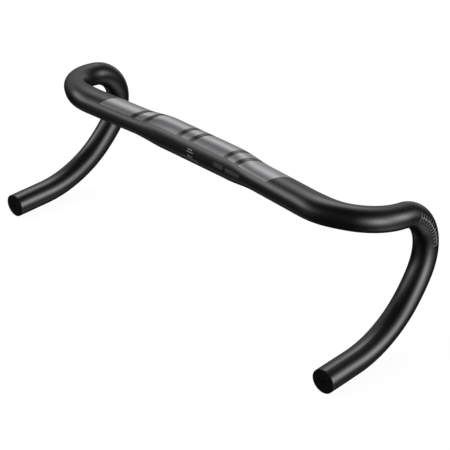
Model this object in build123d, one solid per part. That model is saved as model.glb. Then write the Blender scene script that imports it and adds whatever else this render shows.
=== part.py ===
from build123d import *
from bisect import bisect
import math
import os

# Drop handlebar in aluminium tube, with transfers and bar-end plugs, in millimetres.
# Frame: origin on the clamp axis at the middle of the bar, +X to the rider's right,
# +Y forwards, +Z up. The left half is the mirror image of the right half.
# Places on the bar are a distance along its centreline from the middle (negative on the
# left) and an angle round the section, in radians. On the tops the angle runs from 0 at
# the front, over the top, to pi at the rear.

# ---- clamp and taper ----
CLAMP_R = 31.8 / 2
CLAMP_HALF = 32.0         # half length of the straight, true cylinder
BULGE_HALF = 43.2         # distance along the bar at which the bulge starts to taper
TAPER = 38.0              # length of the taper down to the tops
# ---- tops ----
TOP_HALF_DEPTH = 16.6     # half width fore and aft
TOP_HALF_HEIGHT = 12.6
TOP_TILT = -12.0          # degrees, nose of the flattened top points down
BACKSWEEP = 5.6           # degrees
TOP_RISE = 1.5            # degrees
SWEEP_BEND = 30.0         # length of the backsweep bend
TOP_END = 141.6           # distance along the bar to the start of the corner
ROUND_START = 149.7       # the flattened top starts to turn round here
ROUND_BLEND = 34.3        # and is round after this length
# ---- corner, ramp and hook ----
TUBE_R = 23.8 / 2         # outside of the lever area and the drop
CORNER_R = 57.9           # mean bend radius of the corner
CORNER_TIGHTNESS = (0.83, 1.25, 1.27, 1.0)   # relative curvature, evenly spaced knots
RAMP_OUT = 0.8            # degrees outwards
RAMP_DOWN = 9.7           # degrees downwards
FLARE = 4.3               # degrees, the hooks lean outwards
HOOK_LENGTH = 197.7       # developed length
HOOK_TIGHTNESS = (1.83, 1.42, 1.60, 1.32, 0.34, 0.63, 0.51, 0.56, 0.54)
DROP_STRAIGHT = 37.6      # straight end of the drop
# ---- wall ----
WALL_CLAMP = 2.3
WALL_TUBE = 1.6
# ---- sampling ----
LINE_STEP = 0.5           # spacing of the centreline points
LOFT_STEP = 4.0           # approximate spacing of the lofted sections

RIGHT = Vector(1, 0, 0)
BACK = Vector(0, -1, 0)


# ---- centreline of the right half ----
def smooth(fraction):
    """Ease from 0 to 1 with level ends."""
    fraction = min(1.0, max(0.0, fraction))
    return fraction * fraction * (3 - 2 * fraction)


def blend(start, end, fraction):
    return start * (1 - fraction) + end * fraction


def interpolate(knots, fraction):
    """Value of evenly spaced knots at a fraction of their span."""
    x = fraction * (len(knots) - 1)
    i = min(int(x), len(knots) - 2)
    return knots[i] + (knots[i + 1] - knots[i]) * (x - i)


def square_to(vector, direction):
    """Unit vector: the part of vector at right angles to a unit direction."""
    return (vector - direction * vector.dot(direction)).normalized()


def add_straight(line, length):
    s, point, tangent = line[-1]
    count = max(1, round(length / LINE_STEP))
    for i in range(1, count + 1):
        line.append((s + length * i / count, point + tangent * (length * i / count), tangent))


def add_bend(line, axis_dir, degrees, length, tightness=(1.0, 1.0)):
    """Turn about axis_dir; tightness shares the angle out along the length."""
    s, point, tangent = line[-1]
    axis = Axis((0, 0, 0), axis_dir)
    count = max(2, round(length / LINE_STEP))
    weights = [interpolate(tightness, (i + 0.5) / count) for i in range(count)]
    scale = degrees / sum(weights)
    for i, weight in enumerate(weights):
        half_turn = weight * scale / 2
        tangent = tangent.rotate(axis, half_turn)
        point = point + tangent * (length / count)
        tangent = tangent.rotate(axis, half_turn).normalized()
        line.append((s + length * (i + 1) / count, point, tangent))


def add_bend_to(line, goal, length, tightness=(1.0, 1.0)):
    tangent = line[-1][2]
    axis_dir = tangent.cross(goal).normalized()
    add_bend(line, axis_dir, tangent.get_angle(goal), length, tightness)


def sideways_and_up(main, side, main_to_side, rise):
    """Unit direction: main turned towards side, then raised (degrees)."""
    turn, lift = math.radians(main_to_side), math.radians(rise)
    level = main * math.cos(turn) + side * math.sin(turn)
    return level * math.cos(lift) + Vector(0, 0, math.sin(lift))


def centreline():
    """Points as (distance, point, tangent), and the distance where the hook ends."""
    top_dir = sideways_and_up(RIGHT, BACK, BACKSWEEP, TOP_RISE)
    ramp_dir = sideways_and_up(-BACK, RIGHT, RAMP_OUT, -RAMP_DOWN)
    line = [(0.0, Vector(0, 0, 0), RIGHT)]
    add_straight(line, CLAMP_HALF)
    add_bend_to(line, top_dir, SWEEP_BEND)
    add_straight(line, TOP_END - CLAMP_HALF - SWEEP_BEND)
    corner_length = CORNER_R * math.radians(top_dir.get_angle(ramp_dir))
    add_bend_to(line, ramp_dir, corner_length, CORNER_TIGHTNESS)

    # the hook turns about one axis, from the ramp's direction to straight back
    flare = math.radians(FLARE)
    down_flared = Vector(math.sin(flare), 0, -math.cos(flare))
    hook_axis = (ramp_dir - BACK).cross(down_flared).normalized()
    flat_ramp = square_to(ramp_dir, hook_axis)
    flat_back = square_to(BACK, hook_axis)
    hook_angle = flat_ramp.get_angle(flat_back)
    # a ramp that points upwards makes the hook more than half a turn
    if flat_ramp.cross(flat_back).dot(hook_axis) < 0:
        hook_angle = 360 - hook_angle
    add_bend(line, hook_axis, hook_angle, HOOK_LENGTH, HOOK_TIGHTNESS)

    hook_end, point, _ = line[-1]
    line[-1] = (hook_end, point, BACK)
    add_straight(line, DROP_STRAIGHT)
    return line, hook_end


def carried_depth_dirs(line):
    """The section's depth direction, carried along the line without twist."""
    tilt = math.radians(TOP_TILT)
    depth_dir = Vector(0, math.cos(tilt), math.sin(tilt))
    dirs = []
    for _, _, tangent in line:
        depth_dir = square_to(depth_dir, tangent)
        dirs.append(depth_dir)
    return dirs


LINE, HOOK_END = centreline()
DEPTH_DIRS = carried_depth_dirs(LINE)
BAR_HALF, DROP_CENTRE, _ = LINE[-1]


def frame_at(s):
    """Point, tangent, depth and height directions at a distance along the right half."""
    i = min(bisect(LINE, s, key=lambda sample: sample[0]) - 1, len(LINE) - 2)
    (s0, point0, tangent0), (s1, point1, tangent1) = LINE[i], LINE[i + 1]
    k = min(1.0, max(0.0, (s - s0) / (s1 - s0)))
    tangent = blend(tangent0, tangent1, k).normalized()
    depth_dir = square_to(blend(DEPTH_DIRS[i], DEPTH_DIRS[i + 1], k).normalized(), tangent)
    return blend(point0, point1, k), tangent, depth_dir, tangent.cross(depth_dir)


def plane_at(s):
    point, tangent, depth_dir, _ = frame_at(s)
    return Plane(origin=point, x_dir=depth_dir, z_dir=tangent)


# ---- section sizes ----
def half_axes(s):
    """Half depth and half height of the outside."""
    taper = smooth((s - BULGE_HALF) / TAPER)
    rounding = smooth((s - ROUND_START) / ROUND_BLEND)
    depth = blend(TOP_HALF_DEPTH, TUBE_R, rounding)
    height = blend(TOP_HALF_HEIGHT, TUBE_R, rounding)
    return blend(CLAMP_R, depth, taper), blend(CLAMP_R, height, taper)


def wall_at(s):
    return WALL_CLAMP + (WALL_TUBE - WALL_CLAMP) * smooth((s - BULGE_HALF) / TAPER)


def skin_point(s, angle, offset):
    """Point at an offset from the outside of the bar."""
    point, _, depth_dir, height_dir = frame_at(abs(s))
    depth, height = half_axes(abs(s))
    c, n = math.cos(angle), math.sin(angle)
    normal = (depth_dir * (c * height) + height_dir * (n * depth)).normalized()
    q = point + depth_dir * (depth * c) + height_dir * (height * n) + normal * offset
    return Vector(-q.X, q.Y, q.Z) if s < 0 else q


# ---- bar tube ----
def round_ring(plane, radius):
    """A circle in two halves, so that no face wraps round on itself."""
    return Wire([Edge.make_circle(radius, plane, 0, 180),
                 Edge.make_circle(radius, plane, 180, 360)])


def oval_ring(plane, depth, height):
    """An ellipse in two halves, for the same reason."""
    return Wire([Edge.make_ellipse(depth, height, plane, 0, 180),
                 Edge.make_ellipse(depth, height, plane, 180, 360)])


def loft_stations():
    """Evenly spaced, so that the skinned surface doesn't ripple."""
    span = HOOK_END - CLAMP_HALF
    count = round(span / LOFT_STEP)
    return [CLAMP_HALF + span * i / count for i in range(count)] + [HOOK_END]


def loft_ring(s, inset):
    depth, height = half_axes(s)
    height = min(depth, height)
    if s in (CLAMP_HALF, HOOK_END):
        return round_ring(plane_at(s), height - inset)
    return oval_ring(plane_at(s), depth - inset, height - inset)


def side_faces(shape):
    return [f for f in shape.faces() if f.geom_type != GeomType.PLANE]


def mirrored(shape):
    return mirror(shape, about=Plane.YZ)


def long_faces(inner):
    """Every curved face of the outside, or of the bore, from one drop end to the other."""
    clamp_r = CLAMP_R - (WALL_CLAMP if inner else 0.0)
    tube_r = TUBE_R - (WALL_TUBE if inner else 0.0)
    rings = [loft_ring(s, wall_at(s) if inner else 0.0) for s in loft_stations()]
    loft_part = Solid.make_loft(rings, False)
    drop = Solid.extrude(Face(round_ring(plane_at(HOOK_END), tube_r)), BACK * DROP_STRAIGHT)
    half = side_faces(loft_part) + side_faces(drop)
    clamp_plane = Plane(origin=(-CLAMP_HALF, 0, 0), x_dir=frame_at(0.0)[2], z_dir=RIGHT)
    clamp = Solid.extrude(Face(round_ring(clamp_plane, clamp_r)), RIGHT * (2 * CLAMP_HALF))
    return side_faces(clamp) + half + [mirrored(f) for f in half]


def bar_tube():
    """One hollow solid: outside and bore joined by the two cut ends."""
    plane = plane_at(BAR_HALF)
    cut_end = Face(round_ring(plane, TUBE_R), [round_ring(plane, TUBE_R - WALL_TUBE)])
    faces = long_faces(False) + long_faces(True) + [cut_end, mirrored(cut_end)]
    tube = Solid(Shell(faces))
    # the shell may come out facing inwards
    if tube.volume < 0:
        tube = Solid(-tube.shells()[0])
    return tube


# ---- transfers ----
FILM_T = 0.04             # transfer thickness
FILM_GAP = 0.05           # adhesive line under each transfer
FILM_GAP_CLAMP = 0.02     # the same inside the stem clamp, where a band must still slide over it
GAP_START = 36.0          # the adhesive line starts to thicken here
GAP_BLEND = 10.0          # and is full after this length

BAND_FRONT, BAND_REAR = 1.01, 2.61  # angles of the top bands' edges
BAND_SLANT = 13.0                   # the front edge is this far to the right of the rear
TOP_BANDS = {                       # where each band starts and stops at its rear edge
    "top_band_left_outer": (-124.0, -84.0),
    "top_slash_left": (-78.0, -68.0),
    "top_band_left_inner": (-62.0, -22.0),
    "top_slash_centre": (-16.0, -6.0),
    "top_band_right_inner": (0.0, 40.0),
    "top_slash_right": (46.0, 56.0),
    "top_band_right_outer": (62.0, 101.0),
}
# marks round the rear of the clamp: middle angle, half angle, start, stop
CLAMP_MARKS = (
    (3.055, 0.024, -3.2, 2.8),      # short line
    (3.21, 0.024, -4.2, 4.0),       # short line
    (3.49, 0.055, -3.2, 3.2),       # bar
    (3.655, 0.026, -11.0, 11.2),    # long line
)
# blank bars of the rear label: start, stop, first angle, last angle, points along
LABEL_BARS = ((31.2, 43.8, 3.11, 3.38, 6), (47.0, 68.0, 3.12, 3.40, 8))

# lever height scale on the outside of each hook
SCALE_START, SCALE_PITCH, SCALE_TICKS = 249.2, 4.0, 12
SCALE_ANGLE = 3.05
TICK_HALF_LENGTH = 0.3    # along the bar
TICK_HALF_ANGLE = 0.335
END_TICK_HALF_ANGLE = 0.37
DASH_INSET = 0.4          # from the middle of a tick to the next centre dash
DASH_HALF_ANGLE = 0.03


def film(start, stop, angle0, angle1, n_round, n_along, slant=0.0):
    """Thin film on the bar; slant shifts its angle0 edge along the bar."""
    def shift(angle):
        return slant * (angle1 - angle) / (angle1 - angle0)

    def gap(s):
        return FILM_GAP_CLAMP + (FILM_GAP - FILM_GAP_CLAMP) * smooth(
            (abs(s) - GAP_START) / GAP_BLEND)

    rows = []
    for j in range(n_round):
        angle = angle0 + (angle1 - angle0) * j / (n_round - 1)
        first = start + shift(angle)
        along = [first + (stop - start) * i / (n_along - 1) for i in range(n_along)]
        rows.append([skin_point(s, angle, gap(s)) for s in along])
    face = Face.make_surface_from_array_of_points(rows, tol=1e-3)
    mid_angle = (angle0 + angle1) / 2
    mid_s = (start + stop) / 2 + shift(mid_angle)
    outwards = skin_point(mid_s, mid_angle, 1.0) - skin_point(mid_s, mid_angle, 0.0)
    return Solid.thicken(face, FILM_T, outwards)


def centred_film(start, stop, angle, half_angle, n_round, n_along):
    return film(start, stop, angle - half_angle, angle + half_angle, n_round, n_along)


def top_band(start, stop):
    n_along = max(7, int((stop - start) / 4))
    return film(start, stop, BAND_FRONT, BAND_REAR, 9, n_along, BAND_SLANT)


def clamp_marks():
    return Compound(children=[centred_film(start, stop, angle, half_angle, 3, 5)
                              for angle, half_angle, start, stop in CLAMP_MARKS])


def rear_label():
    return Compound(children=[film(start, stop, angle0, angle1, 4, n_along)
                              for start, stop, angle0, angle1, n_along in LABEL_BARS])


def lever_scale():
    """Ticks across a dashed centre line, on the right hook."""
    films = []
    for i in range(SCALE_TICKS):
        s = SCALE_START + SCALE_PITCH * i
        half_angle = END_TICK_HALF_ANGLE if i in (0, SCALE_TICKS - 1) else TICK_HALF_ANGLE
        films.append(centred_film(s - TICK_HALF_LENGTH, s + TICK_HALF_LENGTH,
                                  SCALE_ANGLE, half_angle, 5, 3))
        if i < SCALE_TICKS - 1:
            films.append(centred_film(s + DASH_INSET, s + SCALE_PITCH - DASH_INSET,
                                      SCALE_ANGLE, DASH_HALF_ANGLE, 3, 3))
    return films


# ---- bar-end plugs: local z runs into the tube from its cut end ----
FIT = 0.05                # radial clearance between fitted parts
FLANGE_R = TUBE_R - FIT
FLANGE_T = 0.8
SPIGOT_R, SPIGOT_START, SPIGOT_END = 9.9, -0.5, 7.0
STUB_R, STUB_END = 5.4, 10.5
SINK_R, SINK_DEPTH_Z = 4.75, 1.4    # countersink for the screw head
SCREW_PASSAGE_R = 2.8
SLEEVE_R, SLEEVE_END = TUBE_R - WALL_TUBE - FIT, 22.0
GROOVE_STARTS, GROOVE_W, GROOVE_DEPTH = (12.0, 15.5, 19.0), 1.2, 0.6
SLIT_W, SLIT_START = 1.6, 11.0
CONE_START, CONE_R, CONE_SLOPE = 13.0, STUB_R + FIT, 0.35
NUT_START, NUT_CONE_END, NUT_END = 14.0, 22.6, 24.6
NUT_GAP = 0.08            # between the nut and the sleeve's cone and slits
KEY_HALF_SPAN, KEY_LENGTH, KEY_Z = 9.3, 5.6, 19.6
SCREW_R = 2.5             # M5
SCREW_CHAMFER, SHANK_END = 0.6, 27.4
HEAD_R, HEAD_TOP, HEAD_RIM = 4.6, -0.7, -0.5
SOCKET_INRADIUS, SOCKET_CUT = 1.5, 2.9


def cylinder(radius, z0, z1):
    return Solid.make_cylinder(radius, z1 - z0, Plane(origin=(0, 0, z0)))


def cone(radius0, radius1, z0, z1):
    return Solid.make_cone(radius0, radius1, z1 - z0, Plane(origin=(0, 0, z0)))


def sleeve_cone_r(z):
    return CONE_R + CONE_SLOPE * (z - CONE_START)


def plug_cap():
    flange = cylinder(FLANGE_R, -FLANGE_T, -0.02)
    rim = [e for e in flange.edges()
           if abs(e.center().Z + FLANGE_T) < 1e-6 and e.geom_type == GeomType.CIRCLE]
    flange = flange.fillet(0.3, rim)
    body = flange + cylinder(SPIGOT_R, SPIGOT_START, SPIGOT_END) \
        + cylinder(STUB_R, SPIGOT_END - 0.5, STUB_END)
    # six pockets leave shallow ribs on the spigot
    for k in range(6):
        body = body - (Rot(0, 0, 60 * k) * Pos(SPIGOT_R, 0, 4.2) * Box(1.6, 3.2, 5.0))
    sink_z = HEAD_RIM + 0.05
    sink = cylinder(SINK_R, -FLANGE_T - 1, sink_z) \
        + cone(SINK_R - 0.1, SCREW_PASSAGE_R, sink_z, SINK_DEPTH_Z) \
        + cylinder(SCREW_PASSAGE_R, SINK_DEPTH_Z - 0.1, STUB_END + 1)
    return body - sink


def plug_sleeve():
    """Grooved sleeve, slit crosswise from its inner end, with a conical bore."""
    body = cylinder(SLEEVE_R, SPIGOT_END + 0.03, SLEEVE_END)
    for z in GROOVE_STARTS:
        body = body - (cylinder(SLEEVE_R + 1, z, z + GROOVE_W)
                       - cylinder(SLEEVE_R - GROOVE_DEPTH, z - 1, z + GROOVE_W + 1))
    bore = cylinder(CONE_R, SPIGOT_END - 1, CONE_START + 0.001) \
        + cone(CONE_R, sleeve_cone_r(SLEEVE_END + 1), CONE_START, SLEEVE_END + 1)
    body = body - bore
    for k in range(2):
        body = body - (Rot(0, 0, 90 * k) * Pos(0, 0, SLIT_START + 10) * Box(30, SLIT_W, 20))
    return body


def plug_wedge_nut():
    """Cone that spreads the sleeve, with a key across one slit."""
    small_r = sleeve_cone_r(NUT_START) - NUT_GAP
    large_r = sleeve_cone_r(NUT_CONE_END) - NUT_GAP
    body = cone(small_r, large_r, NUT_START, NUT_CONE_END) \
        + cylinder(large_r, NUT_CONE_END - 0.001, NUT_END)
    key = Pos(0, 0, KEY_Z) * Box(2 * KEY_HALF_SPAN, SLIT_W - 2 * NUT_GAP, KEY_LENGTH)
    body = body + key
    return body - cylinder(SCREW_R + FIT, NUT_START - 1, NUT_END + 1)


def plug_screw():
    """Countersunk screw with a hexagon socket."""
    head = cylinder(HEAD_R, HEAD_TOP, HEAD_RIM + 0.001) \
        + cone(HEAD_R, SCREW_R, HEAD_RIM, HEAD_RIM + HEAD_R - SCREW_R)
    shank = cylinder(SCREW_R, 0.0, SHANK_END) \
        + cone(SCREW_R, SCREW_R - SCREW_CHAMFER, SHANK_END, SHANK_END + SCREW_CHAMFER)
    hexagon = RegularPolygon(SOCKET_INRADIUS, 6, major_radius=False)
    socket = extrude(Plane(origin=(0, 0, HEAD_TOP - 0.5)) * hexagon, SOCKET_CUT)
    return head + shank - socket


def in_drop_end(shape, side):
    origin = (DROP_CENTRE.X * side, DROP_CENTRE.Y, DROP_CENTRE.Z)
    return Plane(origin=origin, x_dir=(1, 0, 0), z_dir=(0, 1, 0)).location * shape


# ---- all pieces ----
pieces = {"bar_tube": bar_tube()}
for name, (start, stop) in TOP_BANDS.items():
    pieces[name] = top_band(start, stop)
pieces["clamp_alignment_marks"] = clamp_marks()
pieces["rear_label"] = rear_label()
pieces["lever_scale_right"] = Compound(children=lever_scale())
pieces["lever_scale_left"] = Compound(children=[mirrored(x) for x in lever_scale()])
for side, word in ((1, "right"), (-1, "left")):
    for build in (plug_cap, plug_sleeve, plug_wedge_nut, plug_screw):
        pieces[f"{word}_{build.__name__}"] = in_drop_end(build(), side)

os.makedirs("parts", exist_ok=True)
for name, shape in pieces.items():
    export_step(shape, f"parts/{name}.step")
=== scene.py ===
import math

import bmesh
import bpy
import numpy as np
from mathutils import Matrix, Vector, geometry


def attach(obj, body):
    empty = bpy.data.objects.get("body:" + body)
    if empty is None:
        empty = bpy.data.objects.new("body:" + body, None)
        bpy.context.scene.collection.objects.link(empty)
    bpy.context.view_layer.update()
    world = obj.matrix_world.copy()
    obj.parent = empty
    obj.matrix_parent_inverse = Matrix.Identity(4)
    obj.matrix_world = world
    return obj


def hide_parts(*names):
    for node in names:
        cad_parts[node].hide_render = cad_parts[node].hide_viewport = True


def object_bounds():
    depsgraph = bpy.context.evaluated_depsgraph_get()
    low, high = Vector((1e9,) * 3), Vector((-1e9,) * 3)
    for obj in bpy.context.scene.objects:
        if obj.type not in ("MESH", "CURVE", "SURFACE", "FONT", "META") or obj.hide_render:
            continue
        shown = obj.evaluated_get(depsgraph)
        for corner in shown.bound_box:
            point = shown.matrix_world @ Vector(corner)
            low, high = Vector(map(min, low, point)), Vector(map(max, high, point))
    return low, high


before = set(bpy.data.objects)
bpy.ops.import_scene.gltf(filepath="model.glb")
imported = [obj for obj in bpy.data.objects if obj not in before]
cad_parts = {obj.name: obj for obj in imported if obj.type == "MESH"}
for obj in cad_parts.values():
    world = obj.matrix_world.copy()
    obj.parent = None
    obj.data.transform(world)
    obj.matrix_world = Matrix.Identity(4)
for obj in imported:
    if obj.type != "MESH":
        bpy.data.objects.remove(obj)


def plain(box):
    return [[float(c) for c in corner] for corner in box]


cad_box = plain(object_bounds())
scene = bpy.context.scene
MM = 0.001
DEGREE = math.pi / 180

# Sections; distances run along the centreline from the middle of the bar
CLAMP_RADIUS = 31.8 / 2
CLAMP_HALF = 32.0            # straight middle part, half length
BULGE_HALF = 43.2            # end of the full clamp section
TAPER = 38.0                 # from the clamp section to the top section
TOP_HALF_DEPTH = 16.6
TOP_HALF_HEIGHT = 12.6
TUBE_RADIUS = 23.8 / 2
ROUND_START = 149.7          # where the top section starts turning round
ROUND_BLEND = 34.3
WALL_CLAMP = 2.3
WALL_TUBE = 1.6

# Centreline; angles in degrees
TOP_TILT = -12.0             # of the section's depth axis, from level
BACKSWEEP = 5.6
TOP_RISE = 1.5
SWEEP_BEND = 30.0            # length of the bend next to the clamp
TOP_END = 141.6
CORNER_RADIUS = 57.9
RAMP_OUT = 0.8
RAMP_DOWN = 9.7
FLARE = 4.3
HOOK_LENGTH = 197.7
DROP_END = 37.6              # straight part at the end
# relative curvature at even spacing along each bend
CORNER_CURVE = (0.83, 1.25, 1.27, 1.0)
HOOK_CURVE = (1.83, 1.42, 1.60, 1.32, 0.34, 0.63, 0.51, 0.56, 0.54)
STEP = 0.5                   # between centreline stations


# ---------------------------------------------------------------------------
# Centreline of the right half
# ---------------------------------------------------------------------------
def unit(vector):
    vector = np.asarray(vector, float)
    return vector / np.linalg.norm(vector)


def turn(vector, axis, angle):
    c, s = math.cos(angle), math.sin(angle)
    return vector * c + np.cross(axis, vector) * s + axis * np.dot(axis, vector) * (1 - c)


def angle_between(a, b):
    return math.acos(float(np.clip(np.dot(a, b), -1, 1)))


def smoothstep(t):
    t = np.clip(t, 0.0, 1.0)
    return t * t * (3 - 2 * t)


# stations: distance, point, tangent
centreline = [(0.0, np.zeros(3), np.array([1.0, 0, 0]))]


def straight(length):
    distance, point, tangent = centreline[-1]
    count = max(1, round(length / STEP))
    for i in range(1, count + 1):
        along = length * i / count
        centreline.append((distance + along, point + tangent * along, tangent))


def bend(axis, angle, length, curve=(1.0, 1.0)):
    distance, point, tangent = centreline[-1]
    count = max(2, round(length / STEP))
    middles = (np.arange(count) + 0.5) / count
    turns = np.interp(middles, np.linspace(0, 1, len(curve)), curve)
    turns = turns * angle / turns.sum()
    for i in range(count):
        tangent = turn(tangent, axis, turns[i] / 2)
        point = point + tangent * (length / count)
        tangent = unit(turn(tangent, axis, turns[i] / 2))
        centreline.append((distance + length * (i + 1) / count, point, tangent))


def bend_to(goal, length, curve=(1.0, 1.0)):
    tangent = centreline[-1][2]
    bend(unit(np.cross(tangent, goal)), angle_between(tangent, goal), length, curve)


def draw_centreline():
    sweep, rise = BACKSWEEP * DEGREE, TOP_RISE * DEGREE
    out, down = RAMP_OUT * DEGREE, RAMP_DOWN * DEGREE
    flare = FLARE * DEGREE
    top = np.array([math.cos(sweep) * math.cos(rise),
                    -math.sin(sweep) * math.cos(rise), math.sin(rise)])
    ramp = np.array([math.sin(out) * math.cos(down),
                     math.cos(out) * math.cos(down), -math.sin(down)])
    back = np.array([0.0, -1.0, 0.0])

    straight(CLAMP_HALF)
    bend_to(top, SWEEP_BEND)
    straight(TOP_END - CLAMP_HALF - SWEEP_BEND)
    bend_to(ramp, CORNER_RADIUS * angle_between(top, ramp), CORNER_CURVE)

    # the hook turns in a flared plane from the ramp to straight back
    axis = unit(np.cross(ramp - back, [math.sin(flare), 0.0, -math.cos(flare)]))
    start, end = [unit(v - axis * np.dot(axis, v)) for v in (ramp, back)]
    angle = angle_between(start, end)
    if np.dot(np.cross(start, end), axis) < 0:
        angle = 2 * math.pi - angle
    bend(axis, angle, HOOK_LENGTH, HOOK_CURVE)
    distance, point, _ = centreline[-1]
    centreline[-1] = (distance, point, back)
    straight(DROP_END)


def carry_depth_axes():
    """The section's depth axis, carried along the centreline without twist."""
    depth = np.array([0.0, math.cos(TOP_TILT * DEGREE), math.sin(TOP_TILT * DEGREE)])
    axes = []
    for _, _, tangent in centreline:
        depth = unit(depth - tangent * np.dot(depth, tangent))
        axes.append(depth)
    return np.array(axes)


draw_centreline()
DISTANCES = np.array([station[0] for station in centreline])
POINTS = np.array([station[1] for station in centreline])
DEPTH_AXES = carry_depth_axes()
HEIGHT_AXES = np.cross(np.array([station[2] for station in centreline]), DEPTH_AXES)
BAR_HALF = DISTANCES[-1]
BAR_END = POINTS[-1]


# ---------------------------------------------------------------------------
# Bar surface: s is the distance along the bar, negative on the left half;
# theta goes round it, 0 forward, pi/2 up and pi back on the top part
# ---------------------------------------------------------------------------
def lerp(table, distance):
    return np.stack([np.interp(distance, DISTANCES, table[:, k]) for k in range(3)], -1)


def half_axes(distance):
    top = smoothstep((distance - BULGE_HALF) / TAPER)
    tube = smoothstep((distance - ROUND_START) / ROUND_BLEND)
    depth = TOP_HALF_DEPTH * (1 - tube) + TUBE_RADIUS * tube
    height = TOP_HALF_HEIGHT * (1 - tube) + TUBE_RADIUS * tube
    return CLAMP_RADIUS * (1 - top) + depth * top, CLAMP_RADIUS * (1 - top) + height * top


def section_at(s):
    distance = np.abs(s)
    tables = [lerp(table, distance) for table in (POINTS, DEPTH_AXES, HEIGHT_AXES)]
    return *tables, *half_axes(distance)


def mirror_left(points, s):
    points[:, 0] *= np.where(s < 0, -1.0, 1.0)
    return points


def skin(s, theta, offset):
    """Points at an offset along the bar's outward normal; all arguments are arrays."""
    centre, depth_axis, height_axis, depth, height = section_at(s)
    c, n = np.cos(theta), np.sin(theta)
    points = centre + depth_axis * (depth * c)[:, None] + height_axis * (height * n)[:, None]
    normal = depth_axis * (c * height)[:, None] + height_axis * (n * depth)[:, None]
    normal = normal / np.linalg.norm(normal, axis=-1, keepdims=True)
    return mirror_left(points + normal * offset[:, None], s)


def bar_ring(s, inset, angles):
    centre, depth_axis, height_axis, depth, height = section_at(s)
    points = (centre + depth_axis * ((depth - inset) * np.cos(angles))[:, None]
              + height_axis * ((height - inset) * np.sin(angles))[:, None])
    return mirror_left(points, s) * MM


# ---------------------------------------------------------------------------
# Mesh helpers
# ---------------------------------------------------------------------------
def circle_angles(count):
    return np.linspace(0, 2 * math.pi, count, endpoint=False)


def rings_to_mesh(rings, close=False):
    """Quads between rings of equal count; close joins the last ring to the first."""
    count = len(rings[0])
    total = len(rings)
    faces = []
    for i in range(total if close else total - 1):
        here, there = i * count, ((i + 1) % total) * count
        for j in range(count):
            k = (j + 1) % count
            faces.append((here + j, here + k, there + k, there + j))
    return np.concatenate(rings), faces


def new_mesh(name, vertices, faces):
    mesh = bpy.data.meshes.new(name)
    mesh.from_pydata([tuple(map(float, v)) for v in vertices], [], faces)
    mesh.update()
    return mesh


def add_part(name, mesh, body, node):
    part = bpy.data.objects.new(name, mesh)
    scene.collection.objects.link(part)
    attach(part, body)
    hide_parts(node)
    return part


def add_solid(name, vertices, faces, body, node, material):
    mesh = new_mesh(name, vertices, faces)
    bm = bmesh.new()
    bm.from_mesh(mesh)
    bmesh.ops.recalc_face_normals(bm, faces=bm.faces)
    bm.to_mesh(mesh)
    bm.free()
    mesh.polygons.foreach_set("use_smooth", [True] * len(mesh.polygons))
    mesh.update()
    part = add_part(name, mesh, body, node)
    mesh.materials.append(material)
    return part


def sharpen(part, degrees=40):
    """Smooth shading that keeps real edges crisp."""
    bm = bmesh.new()
    bm.from_mesh(part.data)
    for edge in bm.edges:
        sharp = len(edge.link_faces) == 2 and edge.calc_face_angle(0) > degrees * DEGREE
        edge.smooth = not sharp
    bm.to_mesh(part.data)
    bm.free()


# ---------------------------------------------------------------------------
# Node helpers: values may be output sockets or plain numbers and colours
# ---------------------------------------------------------------------------
class Nodes:
    def __init__(self, owner, output_kind):
        owner.use_nodes = True
        self.tree = owner.node_tree
        self.tree.nodes.clear()
        self.output = self.node(output_kind)

    def feed(self, target, value):
        if isinstance(value, bpy.types.NodeSocket):
            self.tree.links.new(value, target)
        elif target.type == "RGBA":
            target.default_value = (*value, 1)
        else:
            target.default_value = value

    def node(self, kind, **values):
        """A node; each value feeds the input of that name, or else sets a property."""
        node = self.tree.nodes.new(kind)
        for key, value in values.items():
            if key in node.inputs:
                self.feed(node.inputs[key], value)
            else:
                setattr(node, key, value)
        return node

    def math(self, operation, *values):
        node = self.node("ShaderNodeMath", operation=operation)
        for target, value in zip(node.inputs, values):
            self.feed(target, value)
        return node.outputs[0]


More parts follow.
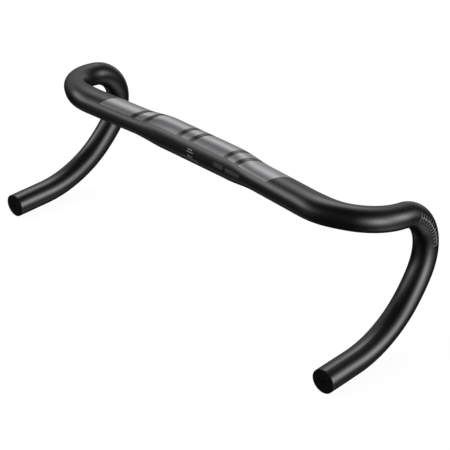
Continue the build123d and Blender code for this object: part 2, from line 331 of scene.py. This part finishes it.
class Finish(Nodes):
    """A material with one Principled surface, textured in object space."""

    def __init__(self, name):
        self.material = bpy.data.materials.new(name)
        super().__init__(self.material, "ShaderNodeOutputMaterial")
        self.principled = self.node("ShaderNodeBsdfPrincipled")
        self.feed(self.output.inputs["Surface"], self.principled.outputs["BSDF"])
        self.coords = self.node("ShaderNodeTexCoord").outputs["Object"]

    def surface(self, inputs):
        for name, value in inputs.items():
            self.feed(self.principled.inputs[name], value)
        return self.material

    def noise(self, scale, detail, rough=0.55, vector=None):
        return self.node("ShaderNodeTexNoise", Scale=scale, Detail=detail, Roughness=rough,
                         Vector=vector or self.coords).outputs["Fac"]

    def remap(self, value, span, to=(0.0, 1.0)):
        return self.node("ShaderNodeMapRange", Value=value, **{
            "From Min": span[0], "From Max": span[1],
            "To Min": to[0], "To Max": to[1]}).outputs[0]

    def by_angle(self, facing, to):
        """A value that changes with the viewing angle; facing is 0 head on, 1 at the edge."""
        weight = self.node("ShaderNodeLayerWeight", Blend=0.5)
        return self.remap(weight.outputs["Facing"], facing, to)

    def mix(self, factor, first, second):
        node = self.node("ShaderNodeMix", data_type="RGBA", Factor=factor)
        for name, value in (("A", first), ("B", second)):
            target = [i for i in node.inputs if i.name == name and i.type == "RGBA"][0]
            self.feed(target, value)
        return [o for o in node.outputs if o.type == "RGBA"][0]

    def bump(self, height, strength, distance, **under):
        """A bump; under may hold Normal, the bump it lies on."""
        return self.node("ShaderNodeBump", Strength=strength, Distance=distance,
                         Height=height, **under).outputs["Normal"]

    def scratches(self, scale, width, rotation):
        """Sparse fine scuff lines: a stretched noise cut to its thin crests."""
        stretched = scale * 0.035
        mapping = self.node("ShaderNodeMapping", Vector=self.coords, Rotation=rotation,
                            Scale=(scale, stretched, stretched))
        waves = self.noise(scale=1.0, detail=2.0, rough=0.4, vector=mapping.outputs["Vector"])
        from_middle = self.math("ABSOLUTE", self.math("SUBTRACT", waves, 0.5))
        lines = self.remap(from_middle, (0, width), to=(1.0, 0.0))
        patches = self.remap(self.noise(scale=28.0, detail=2.0, rough=0.5), (0.60, 0.72))
        return self.math("MULTIPLY", lines, patches)


# ---------------------------------------------------------------------------
# Materials
# ---------------------------------------------------------------------------
NOISE_SPAN = (0.3, 0.7)      # where most of a noise's values lie


def shade(colour, factor):
    return tuple(min(1, c * factor) for c in colour)


def grey(value):
    return (value, value, value)


def bar_finish(roughness):
    nodes = Finish("satin_black_anodised")
    mottle = nodes.noise(scale=38.0, detail=3.0)
    grain = nodes.noise(scale=5200.0, detail=2.0, rough=0.6)
    blast = nodes.noise(scale=1700.0, detail=2.0, rough=0.5)
    base = nodes.mix(nodes.remap(mottle, NOISE_SPAN),
                     (0.0034, 0.0035, 0.0038), (0.0048, 0.0049, 0.0052))
    scuff = nodes.math("MAXIMUM",
                       nodes.scratches(scale=900.0, width=0.012, rotation=(0.3, 0.2, 0.9)),
                       nodes.scratches(scale=700.0, width=0.010, rotation=(1.2, 0.1, -0.5)))
    colour = nodes.mix(nodes.math("MULTIPLY", scuff, 0.22), base, (0.05, 0.05, 0.052))
    rough = nodes.remap(mottle, (0.25, 0.75), to=(roughness - 0.02, roughness + 0.025))
    rough = nodes.math("ADD", rough, nodes.remap(grain, NOISE_SPAN, to=(-0.015, 0.02)))
    rough = nodes.math("ADD", rough, nodes.math("MULTIPLY", scuff, 0.08))
    ior = nodes.by_angle(facing=(0.38, 0.94), to=(1.50, 1.13))
    blasted = nodes.bump(blast, strength=0.05, distance=0.00004)
    normal = nodes.bump(grain, strength=0.05, distance=0.00002, Normal=blasted)
    return nodes.surface({"Base Color": colour, "Roughness": rough, "IOR": ior,
                          "Normal": normal})


def bore_finish():
    nodes = Finish("bore_black")
    mottle = nodes.noise(scale=300.0, detail=3.0)
    return nodes.surface({
        "Base Color": nodes.mix(mottle, (0.010, 0.010, 0.011), (0.02, 0.02, 0.021)),
        "Roughness": nodes.remap(mottle, NOISE_SPAN, to=(0.45, 0.6)),
        "Normal": nodes.bump(mottle, strength=0.2, distance=0.0001)})


def film_finish(name, colour, worn, rough, flake, ior_by_angle=None):
    """Printed satin film: bright flake, slight tone drift and nicks of the worn colour."""
    nodes = Finish(name)
    drift = nodes.noise(scale=30.0, detail=2.0)
    flakes = nodes.noise(scale=6500.0, detail=1.0, rough=0.5)
    nicks = nodes.noise(scale=900.0, detail=3.0, rough=0.6)
    tone = nodes.mix(nodes.remap(drift, NOISE_SPAN), shade(colour, 0.96), shade(colour, 1.04))
    tone = nodes.mix(nodes.remap(flakes, (0.35, 0.75), to=(0.0, flake)),
                     tone, shade(colour, 1.5))
    tone = nodes.mix(nodes.remap(nicks, (0.74, 0.78), to=(0.0, 0.7)), tone, worn)
    return nodes.surface({
        "Base Color": tone,
        "Roughness": nodes.remap(flakes, NOISE_SPAN, to=(rough - 0.03, rough + 0.03)),
        "IOR": nodes.by_angle(*ior_by_angle) if ior_by_angle else 1.5,
        "Normal": nodes.bump(flakes, strength=0.04, distance=0.00002)})


def plastic_finish(name, colour, rough, specular, grain_scale, bump):
    nodes = Finish(name)
    grain = nodes.noise(scale=grain_scale, detail=2.0, rough=0.5)
    cells = nodes.node("ShaderNodeTexVoronoi", Scale=grain_scale * 0.7, Vector=nodes.coords)
    mottle = nodes.noise(scale=60.0, detail=2.0)
    tone = nodes.mix(mottle, shade(colour, 0.85), shade(colour, 1.15))
    roughness = nodes.remap(grain, NOISE_SPAN, to=(rough - 0.05, rough + 0.05))
    pebbles = nodes.bump(cells.outputs["Distance"], strength=bump, distance=0.00006)
    normal = nodes.bump(grain, strength=bump * 0.6, distance=0.00004, Normal=pebbles)
    return nodes.surface({"Base Color": tone, "Roughness": roughness,
                          "Specular IOR Level": specular, "Normal": normal})


def turned_finish(name, colour, rough, specular, metallic):
    """Turned surface: fine tool lines spaced along Y."""
    nodes = Finish(name)
    lines = nodes.node("ShaderNodeTexWave", Scale=2600.0 / 6.28, Distortion=1.5, Detail=2.0,
                       bands_direction="Y", Vector=nodes.coords)
    mottle = nodes.noise(scale=500.0, detail=3.0)
    return nodes.surface({
        "Base Color": nodes.mix(mottle, shade(colour, 0.85), shade(colour, 1.1)),
        "Roughness": nodes.remap(mottle, NOISE_SPAN, to=(rough - 0.06, rough + 0.06)),
        "Metallic": metallic,
        "Specular IOR Level": specular,
        "Normal": nodes.bump(lines.outputs["Fac"], strength=0.12, distance=0.00003)})


BAR_BLACK = bar_finish(roughness=0.25)
BORE_BLACK = bore_finish()
SILVER = film_finish("silver_film", (0.102, 0.103, 0.106), worn=grey(0.010), rough=0.29,
                     flake=0.20, ior_by_angle=((0.20, 0.42), (1.55, 2.4)))
PALE = film_finish("pale_print", (0.36, 0.36, 0.37), worn=grey(0.05), rough=0.32, flake=0.08)
PALE_FINE = film_finish("pale_print_fine", (0.19, 0.19, 0.195), worn=grey(0.03),
                        rough=0.32, flake=0.08)
GREY = film_finish("grey_print", (0.050, 0.050, 0.052), worn=grey(0.02),
                   rough=0.34, flake=0.12)
SCALE = film_finish("scale_print", (0.12, 0.12, 0.125), worn=grey(0.03),
                    rough=0.42, flake=0.08)
SCALE_LINE = film_finish("scale_line_print", (0.17, 0.17, 0.175), worn=grey(0.05),
                         rough=0.40, flake=0.08)
PLASTIC = plastic_finish("plug_plastic", (0.0030, 0.0030, 0.0031), rough=0.62,
                         specular=0.12, grain_scale=2600.0, bump=0.25)
RUBBER = plastic_finish("plug_rubber", grey(0.016), rough=0.72, specular=0.35,
                        grain_scale=1900.0, bump=0.35)
NUT_ALLOY = turned_finish("nut_alloy", (0.34, 0.34, 0.35), rough=0.42,
                          specular=0.5, metallic=1.0)
SCREW_BLACK = turned_finish("black_screw", (0.0030, 0.0030, 0.0032), rough=0.45,
                            specular=0.12, metallic=0.0)

# ---------------------------------------------------------------------------
# Bar tube: one hollow skin with rounded cut lips and a real bore
# ---------------------------------------------------------------------------
TUBE_SEGMENTS = 96
OUTER_STEPS = 2 * 330
BORE_STEPS = 2 * 110
LIP = 0.25


def wall(distance):
    return WALL_CLAMP + (WALL_TUBE - WALL_CLAMP) * smoothstep((distance - BULGE_HALF) / TAPER)


def build_tube():
    # stations: s, inset from the outside
    lip_start = BAR_HALF - LIP
    lip_angles = [math.pi / 8 * k for k in range(1, 4)]
    right_end = [(lip_start + LIP * math.sin(x), LIP - LIP * math.cos(x)) for x in lip_angles]
    right_end += [(BAR_HALF, LIP), (BAR_HALF, WALL_TUBE - LIP)]
    right_end += [(lip_start + LIP * math.cos(x), WALL_TUBE - LIP + LIP * math.sin(x))
                  for x in lip_angles]
    left_end = [(-s, inset) for s, inset in reversed(right_end)]
    outside = [(s, 0.0) for s in np.linspace(-lip_start, lip_start, OUTER_STEPS + 1)]
    shell = left_end + outside + right_end
    bore = [(s, wall(abs(s))) for s in np.linspace(lip_start, -lip_start, BORE_STEPS + 1)]

    angles = circle_angles(TUBE_SEGMENTS)
    rings = [bar_ring(s, inset, angles) for s, inset in shell + bore]
    vertices, faces = rings_to_mesh(rings, close=True)
    tube = add_solid("bar_tube_skin", vertices, faces, "bar", "bar_tube",
                     BAR_BLACK)
    tube.data.materials.append(BORE_BLACK)
    slots = np.zeros(len(faces), int)
    slots[len(shell) * TUBE_SEGMENTS:] = 1
    tube.data.polygons.foreach_set("material_index", slots.tolist())


build_tube()

# ---------------------------------------------------------------------------
# Printed films: flat outlines in (s, theta), cut into a fine mesh, wrapped on
# the bar and given a bevelled rim
# ---------------------------------------------------------------------------
ARC = 14.0                   # mm per radian, only to keep triangles even
FILM_BOTTOM = -0.03          # just under the bar's surface
FILM_RIM = 0.07              # width of the bevel
RIM_HEIGHT = 0.3             # share of the film's height left at its edge
GRID_MARGIN = 20.0           # extra grid at both ends, so a sheared grid still covers
BAND_HEIGHT = 0.055
PRINT_HEIGHT = 0.045


def densify(loop, step):
    out = []
    for (x0, y0), (x1, y1) in zip(loop, loop[1:] + loop[:1]):
        count = max(1, int(math.ceil(math.hypot(x1 - x0, y1 - y0) / step)))
        out += [(x0 + (x1 - x0) * i / count, y0 + (y1 - y0) * i / count)
                for i in range(count)]
    return out


def shrink(loop, distance):
    """The loop moved inwards; loops run anticlockwise."""
    points = np.array(loop)
    before = points - np.roll(points, 1, 0)
    after = np.roll(points, -1, 0) - points
    before /= np.linalg.norm(before, axis=1)[:, None]
    after /= np.linalg.norm(after, axis=1)[:, None]
    normal = np.stack([-before[:, 1], before[:, 0]], 1)
    mitre = normal + np.stack([-after[:, 1], after[:, 0]], 1)
    mitre /= np.maximum((mitre * normal).sum(1), 0.35)[:, None]
    return points + mitre * distance


def inside(points, loop):
    x, y = points[:, 0], points[:, 1]
    result = np.zeros(len(points), bool)
    for (x0, y0), (x1, y1) in zip(loop, np.roll(loop, -1, 0)):
        if y0 != y1:
            crosses = (y0 > y) != (y1 > y)
            result ^= crosses & (x < (x1 - x0) * (y - y0) / (y1 - y0) + x0)
    return result


def near(points, loop, distance):
    return np.array([np.min(np.hypot(*(loop - p).T)) < distance for p in points], bool)


def cross_2d(a, b, c):
    return (b[0] - a[0]) * (c[1] - a[1]) - (c[0] - a[0]) * (b[1] - a[1])


def triangulate(outline, step, shear):
    """Flat points, a mask of those on the outline, and anticlockwise triangles."""
    loop = [(s, theta * ARC) for s, theta in outline]
    area = sum(x0 * y1 - x1 * y0 for (x0, y0), (x1, y1) in zip(loop, loop[1:] + loop[:1]))
    if area < 0:
        loop = loop[::-1]
    outer = densify(loop, step)
    inner = shrink(outer, FILM_RIM)
    low, high = np.min(outer, 0), np.max(outer, 0)
    columns, rows = [max(2, int((high[k] - low[k]) / step)) for k in range(2)]
    x, y = np.meshgrid(np.linspace(low[0] - GRID_MARGIN, high[0] + GRID_MARGIN, columns * 3),
                       np.linspace(low[1], high[1], rows + 1))
    x = x + shear * (y - low[1])
    grid = np.stack([x.ravel(), y.ravel()], 1)
    grid = grid[inside(grid, inner)]
    grid = grid[~near(grid, inner, 0.45 * step)]

    count = len(outer)
    seeds = [Vector((float(x), float(y))) for x, y in [*outer, *inner, *grid]]
    edges = [(start + i, start + (i + 1) % count) for start in (0, count)
             for i in range(count)]
    result = geometry.delaunay_2d_cdt(seeds, edges, [list(range(count))], 1, 1e-6)
    points = np.array([tuple(v) for v in result[0]])
    on_rim = np.array([bool(origin) and origin[0] < count for origin in result[3]])
    triangles = [list(f) if cross_2d(*points[list(f)]) >= 0 else list(f)[::-1]
                 for f in result[2]]
    return points, on_rim, triangles


def wrap(points, on_rim, triangles, height):
    """A closed thin film: vertices, faces and corner normals (None for a flat face)."""
    s, theta = points[:, 0], points[:, 1] / ARC
    count = len(points)
    top = skin(s, theta, np.where(on_rim, height * RIM_HEIGHT, height))
    bottom = skin(s, theta, np.full(count, FILM_BOTTOM))
    up = skin(s, theta, np.ones(count)) - skin(s, theta, np.zeros(count))
    up /= np.linalg.norm(up, axis=1)[:, None]
    a, b, c = triangles[0]
    if float(np.dot(np.cross(top[b] - top[a], top[c] - top[a]), up[a])) < 0:
        triangles = [f[::-1] for f in triangles]
    faces, normals = [], []
    for f in triangles:
        faces.append(tuple(f))
        normals.append(None if any(on_rim[i] for i in f) else [up[i] for i in f])
        faces.append(tuple(count + i for i in f[::-1]))
        normals.append([-up[i] for i in f[::-1]])
    # side walls stand on edges that belong to one triangle
    directed = dict.fromkeys((i, j) for f in triangles for i, j in zip(f, f[1:] + f[:1]))
    for i, j in directed:
        if (j, i) not in directed:
            faces.append((i, count + i, count + j, j))
            normals.append(None)
    return np.concatenate([top, bottom]) * MM, faces, normals


def add_film(name, node, materials, outlines, height, step, slots=None, shear=0.0):
    """One object from several outlines; slots gives each outline's material slot."""
    vertices, faces, normals, face_slots = [], [], [], []
    for number, outline in enumerate(outlines):
        base = len(vertices)
        patch, patch_faces, patch_normals = wrap(*triangulate(outline, step, shear), height)
        vertices += list(patch)
        faces += [tuple(base + i for i in f) for f in patch_faces]
        normals += patch_normals
        face_slots += [slots[number] if slots else 0] * len(patch_faces)
    mesh = new_mesh(name, vertices, faces)
    mesh.polygons.foreach_set("use_smooth", [True] * len(mesh.polygons))
    corners = []
    for face, known in zip(mesh.polygons, normals):
        flat = tuple(face.normal)
        corners += ([tuple(map(float, n)) for n in known] if known is not None
                    else [flat] * face.loop_total)
    mesh.normals_split_custom_set(corners)
    for material in materials:
        mesh.materials.append(material)
    mesh.polygons.foreach_set("material_index", face_slots)
    add_part(name, mesh, "bar", node)


def block(theta, half_angle, start, end):
    low, high = theta - half_angle, theta + half_angle
    return [(start, low), (end, low), (end, high), (start, high)]


# Slanted silver bands on the upper side: start and end of the rear edge, as s
BAND_FRONT, BAND_REAR = 1.01, 2.61       # theta
BAND_SLANT = 13.0                        # how far the front edge is shifted to the right
TOP_BANDS = {
    "top_band_left_outer": (-124.0, -84.0),
    "top_slash_left": (-78.0, -68.0),
    "top_band_left_inner": (-62.0, -22.0),
    "top_slash_centre": (-16.0, -6.0),
    "top_band_right_inner": (0.0, 40.0),
    "top_slash_right": (46.0, 56.0),
    "top_band_right_outer": (62.0, 101.0),
}

# Marks behind the clamp: theta, half angle, start, end, material slot
CLAMP_MARKS = [
    (3.055, 0.024, -3.2, 2.8, 0),
    (3.21, 0.024, -4.2, 4.0, 0),
    (3.49, 0.055, -3.2, 3.2, 1),
    (3.655, 0.026, -11.0, 11.2, 1),
]

# Label blocks on the rear: theta, half angle, start, end
REAR_LABEL = [(3.245, 0.135, 31.2, 43.8), (3.26, 0.14, 47.0, 68.0)]

# Lever scale on each side: ticks across the bar, joined by dashes along it
SCALE_START, SCALE_PITCH, SCALE_TICKS = 249.2, 4.0, 12
SCALE_THETA = 3.05
TICK_HALF_WIDTH = 0.3
TICK_HALF_ANGLE, END_TICK_HALF_ANGLE = 0.335, 0.37
DASH_CLEARANCE = 0.4                     # from a tick's middle
DASH_HALF_ANGLE = 0.03


def add_top_bands():
    for node, (start, end) in TOP_BANDS.items():
        outline = [(start + BAND_SLANT, BAND_FRONT), (end + BAND_SLANT, BAND_FRONT),
                   (end, BAND_REAR), (start, BAND_REAR)]
        add_film(node + "_film", node, [SILVER], [outline], BAND_HEIGHT,
                 step=0.9, shear=-BAND_SLANT / ((BAND_REAR - BAND_FRONT) * ARC))


def add_lever_scale(side, word):
    outlines, slots = [], []
    for i in range(SCALE_TICKS):
        s = SCALE_START + SCALE_PITCH * i
        half_angle = END_TICK_HALF_ANGLE if i in (0, SCALE_TICKS - 1) else TICK_HALF_ANGLE
        outlines.append(block(SCALE_THETA, half_angle, side * (s - TICK_HALF_WIDTH),
                              side * (s + TICK_HALF_WIDTH)))
        slots.append(0)
        if i < SCALE_TICKS - 1:
            outlines.append(block(SCALE_THETA, DASH_HALF_ANGLE, side * (s + DASH_CLEARANCE),
                                  side * (s + SCALE_PITCH - DASH_CLEARANCE)))
            slots.append(1)
    add_film(f"lever_scale_{word}_print", f"lever_scale_{word}",
             [SCALE, SCALE_LINE], outlines, PRINT_HEIGHT, step=0.7, slots=slots)


SIDES = ((1, "right"), (-1, "left"))
add_top_bands()
add_film("clamp_alignment_marks_print", "clamp_alignment_marks",
         [PALE, PALE_FINE], [block(*mark[:4]) for mark in CLAMP_MARKS], PRINT_HEIGHT,
         step=0.5, slots=[mark[4] for mark in CLAMP_MARKS])
add_film("rear_label_print", "rear_label", [GREY],
         [block(*row) for row in REAR_LABEL], PRINT_HEIGHT, step=0.8)
for side, word in SIDES:
    add_lever_scale(side, word)

# ---------------------------------------------------------------------------
# Bar-end plugs: local z runs into the tube from its cut end
# ---------------------------------------------------------------------------
CAP_SEGMENTS = 96
CAP_RADIUS = 11.85
CAP_FACE = -0.8              # z of the outer face
CAP_EDGE = 0.3               # rounding
# shallow groove near the rim: radius, depth
CAP_GROOVE = [(10.35, 0.03), (10.42, 0.16), (10.50, 0.20), (10.66, 0.20), (10.74, 0.16),
              (10.81, 0.03), (10.9, 0.0)]

SCREW_SEGMENTS = 48
SOCKET_FLATS = 3.0           # across the hexagon
# head and plain shank, from the socket's mouth inwards: radius, z
SCREW_HEAD = [(1.95, -0.7), (2.8, -0.7), (4.35, -0.7), (4.5, -0.67), (4.58, -0.60),
              (4.6, -0.5), (4.55, -0.42), (2.55, 1.58), (2.5, 1.7), (2.5, 6.0), (2.44, 6.1)]
SCREW_TIP = [(1.95, 27.8), (1.6, 28.0), (0.02, 28.0)]
THREAD_PITCH = 0.8
THREAD_START, THREAD_STOP, THREAD_STEP = 6.2, 27.6, 0.08
THREAD_CREST = 2.48          # radius
THREAD_DEPTH = 0.46


def place_plug(vertices, side):
    x, y, z = np.asarray(vertices, float).T
    return np.stack([x + BAR_END[0] * side, z + BAR_END[1], -y + BAR_END[2]], 1) * MM


def plug_ring(radius, z, angles):
    return np.stack([radius * np.cos(angles), radius * np.sin(angles),
                     np.full(len(angles), z)], 1)


def quarter(radius, z, rounding, start, steps):
    """A quarter circle of profile points about (radius, z)."""
    angles = [start + math.pi / 2 * i / steps for i in range(steps + 1)]
    return [(radius + rounding * math.cos(a), z + rounding * math.sin(a)) for a in angles]


def build_cap(side, word):
    # closed profile: radius, z
    profile = [(2.8, 10.45), (2.8, 1.42)]                                  # hole
    profile += [(2.86, 1.35), (4.62, -0.41), (4.75, -0.48), (4.75, -0.70)]  # countersink
    profile += quarter(4.85, -0.70, 0.10, math.pi, 3)[1:]
    profile += [(6.5, CAP_FACE), (8.5, CAP_FACE), (10.25, CAP_FACE)]
    profile += [(radius, CAP_FACE + depth) for radius, depth in CAP_GROOVE]
    profile += quarter(CAP_RADIUS - CAP_EDGE, CAP_FACE + CAP_EDGE, CAP_EDGE, 1.5 * math.pi, 6)
    profile += [(CAP_RADIUS, -0.12), (CAP_RADIUS - 0.03, -0.05), (CAP_RADIUS - 0.1, -0.02)]
    profile += [(10.4, -0.02), (9.98, -0.02), (9.9, 0.06), (9.9, 6.7)]     # spigot
    profile += quarter(9.6, 6.7, 0.3, 0, 4)[1:]
    profile += [(5.5, 7.0), (5.4, 7.1), (5.4, 10.2)]                       # inner boss
    profile += quarter(5.1, 10.2, 0.3, 0, 4)[1:]
    profile += [(2.9, 10.5)]
    angles = circle_angles(CAP_SEGMENTS)
    vertices, faces = rings_to_mesh([plug_ring(r, z, angles) for r, z in profile], close=True)
    sharpen(add_solid(f"{word}_plug_cap_moulded", place_plug(vertices, side), faces,
                      f"{word}_plug", f"{word}_plug_cap", PLASTIC))


def socket_radii(angles, rounding=0.0):
    half = SOCKET_FLATS / 2
    radii = half / np.cos((angles % (math.pi / 3)) - math.pi / 6)
    return radii * (1 - rounding) + (half / math.cos(math.pi / 6)) * rounding


def thread_radii(z, angles):
    phase = ((z / THREAD_PITCH) - angles / (2 * math.pi)) % 1.0
    ridge = np.abs(phase - 0.5) * 2
    depth = THREAD_DEPTH * np.clip((ridge - 0.12) / 0.76, 0, 1)
    fade = smoothstep((z - THREAD_START) / 1.2) * smoothstep((27.9 - z) / 0.9)
    tip_taper = (1 - smoothstep((28.0 - z) / 0.8)) * 0.35
    return THREAD_CREST - depth * fade - tip_taper


def build_screw(side, word):
    """M5 countersunk screw with a hexagon socket."""
    angles = circle_angles(SCREW_SEGMENTS)
    hexagon = socket_radii(angles)
    stations = [(0.02, 2.35), (0.6, 2.15), (hexagon, 1.7), (hexagon, 0.8), (hexagon, -0.4),
                (socket_radii(angles, rounding=0.1), -0.56)]
    stations += SCREW_HEAD
    stations += [(thread_radii(z, angles), z)
                 for z in np.arange(THREAD_START, THREAD_STOP, THREAD_STEP)]
    stations += SCREW_TIP
    vertices, faces = rings_to_mesh([plug_ring(r, z, angles) for r, z in stations])
    total = len(vertices)
    faces.append(tuple(range(SCREW_SEGMENTS)))
    faces.append(tuple(range(total - SCREW_SEGMENTS, total))[::-1])
    sharpen(add_solid(f"{word}_plug_screw_m5", place_plug(vertices, side), faces,
                      f"{word}_screw", f"{word}_plug_screw", SCREW_BLACK))


for side, word in SIDES:
    build_cap(side, word)
    build_screw(side, word)
    for node, material in (("plug_sleeve", RUBBER), ("plug_wedge_nut", NUT_ALLOY)):
        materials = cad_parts[f"{word}_{node}"].data.materials
        materials.clear()
        materials.append(material)

# ---------------------------------------------------------------------------
# Studio, in metres: pale floor, soft light, camera
# ---------------------------------------------------------------------------
FLOOR_Z = cad_box[0][2] - 0.0003
FLOOR_RADIUS, FLOOR_RINGS, FLOOR_SEGMENTS = 9.0, 6, 64

# Soft boxes as broad lobes of light: direction x, y, z, sharpness, strength
LOBES = [
    (0.817, 0.541, 0.199, 20.4, 5.069), (0.981, -0.145, 0.130, 15.9, 3.764),
    (-0.483, 0.584, 0.653, 18.1, 1.332), (-0.589, -0.659, 0.467, 23.8, 1.341),
    (-0.792, -0.330, 0.513, 33.5, 3.824), (-0.369, 0.394, 0.842, 24.6, 1.586),
    (0.526, 0.234, -0.818, 18.6, 1.004), (-0.929, 0.171, 0.327, 15.0, 0.477),
    (-0.368, 0.929, 0.035, 16.1, 0.703), (0.817, 0.541, 0.199, 45.6, 1.931),
    (0.981, -0.145, 0.130, 35.6, 2.355), (-0.483, 0.584, 0.653, 40.6, 1.324),
    (-0.589, -0.659, 0.467, 53.2, 1.949), (-0.369, 0.394, 0.842, 55.2, 0.561),
    (-0.106, 0.533, 0.839, 14.0, 0.294), (-0.295, -0.863, 0.411, 14.0, 0.996),
    (-0.814, 0.547, 0.196, 14.0, 0.297), (0.976, 0.147, 0.161, 14.0, 1.742),
    (0.972, -0.198, -0.125, 14.0, 1.587), (-0.420, -0.842, -0.339, 14.0, 0.217),
    (-0.600, -0.110, -0.792, 32.0, 0.240),
]
AMBIENT = 0.013

# The camera stands behind the bar, above it and to the rider's right
CAMERA_PLACE = (0.86335012, -0.84267697, 0.64786685)
CAMERA_AXES = (
    (0.7113126, 0.7028758, 0.0000402),         # right
    (-0.36460386, 0.36893135, 0.8549583),      # up
    (0.60091465, -0.60815728, 0.51869674),     # backwards
)
LENS = 116.4592              # mm, on a sensor 36 mm wide


def floor_finish():
    nodes = Finish("floor_pale")
    drift = nodes.noise(scale=3.0, detail=2.0)
    return nodes.surface({
        "Base Color": grey(0.10), "Roughness": 0.9, "Specular IOR Level": 0.0,
        "Emission Color": grey(1),
        "Emission Strength": nodes.remap(drift, NOISE_SPAN, to=(0.935, 0.945))})


def build_floor():
    bm = bmesh.new()
    centre = bm.verts.new((0, 0, FLOOR_Z))
    previous = None
    for i in range(1, FLOOR_RINGS + 1):
        radius = FLOOR_RADIUS * (i / FLOOR_RINGS) ** 2
        ring = [bm.verts.new((radius * math.cos(a), radius * math.sin(a), FLOOR_Z))
                for a in circle_angles(FLOOR_SEGMENTS)]
        for j in range(FLOOR_SEGMENTS):
            k = (j + 1) % FLOOR_SEGMENTS
            inner = (previous[k], previous[j]) if previous else (centre,)
            bm.faces.new((inner[-1], ring[j], ring[k], *inner[:-1]))
        previous = ring
    mesh = bpy.data.meshes.new("studio_floor")
    bm.to_mesh(mesh)
    bm.free()
    floor = bpy.data.objects.new("studio_floor", mesh)
    scene.collection.objects.link(floor)
    mesh.materials.append(floor_finish())
    floor.visible_glossy = False
    floor.visible_diffuse = False


def build_world():
    """The lobes light the bar; the camera itself sees plain white."""
    scene.world = bpy.data.worlds.new("studio")
    nodes = Nodes(scene.world, "ShaderNodeOutputWorld")
    direction = nodes.node("ShaderNodeTexCoord").outputs["Generated"]
    total = AMBIENT
    for x, y, z, sharpness, strength in LOBES:
        dot = nodes.node("ShaderNodeVectorMath", operation="DOT_PRODUCT")
        nodes.feed(dot.inputs[0], direction)
        nodes.feed(dot.inputs[1], unit((x, y, z)).tolist())
        # strength * exp(sharpness * (dot - 1))
        fall = nodes.math("MULTIPLY_ADD", dot.outputs["Value"], sharpness, -sharpness)
        total = nodes.math("MULTIPLY_ADD", nodes.math("EXPONENT", fall), strength, total)
    light = nodes.node("ShaderNodeBackground", Strength=total, Color=(0.985, 0.99, 1.0))
    white = nodes.node("ShaderNodeBackground", Strength=1.0, Color=grey(1))
    path = nodes.node("ShaderNodeLightPath")
    mix = nodes.node("ShaderNodeMixShader", Fac=path.outputs["Is Camera Ray"])
    nodes.feed(mix.inputs[1], light.outputs[0])
    nodes.feed(mix.inputs[2], white.outputs[0])
    nodes.feed(nodes.output.inputs["Surface"], mix.outputs[0])


def build_camera():
    data = bpy.data.cameras.new("camera")
    data.sensor_fit = "HORIZONTAL"
    data.sensor_width = 36.0
    data.lens = LENS
    data.clip_start = 0.05
    data.clip_end = 60.0
    camera = bpy.data.objects.new("camera", data)
    scene.collection.objects.link(camera)
    matrix = Matrix(CAMERA_AXES).transposed().to_4x4()
    matrix.translation = CAMERA_PLACE
    camera.matrix_world = matrix
    scene.camera = camera


scene.view_settings.view_transform = "Standard"
scene.view_settings.look = "None"
scene.render.film_transparent = False
build_floor()
build_world()
build_camera()

bpy.context.view_layer.update()
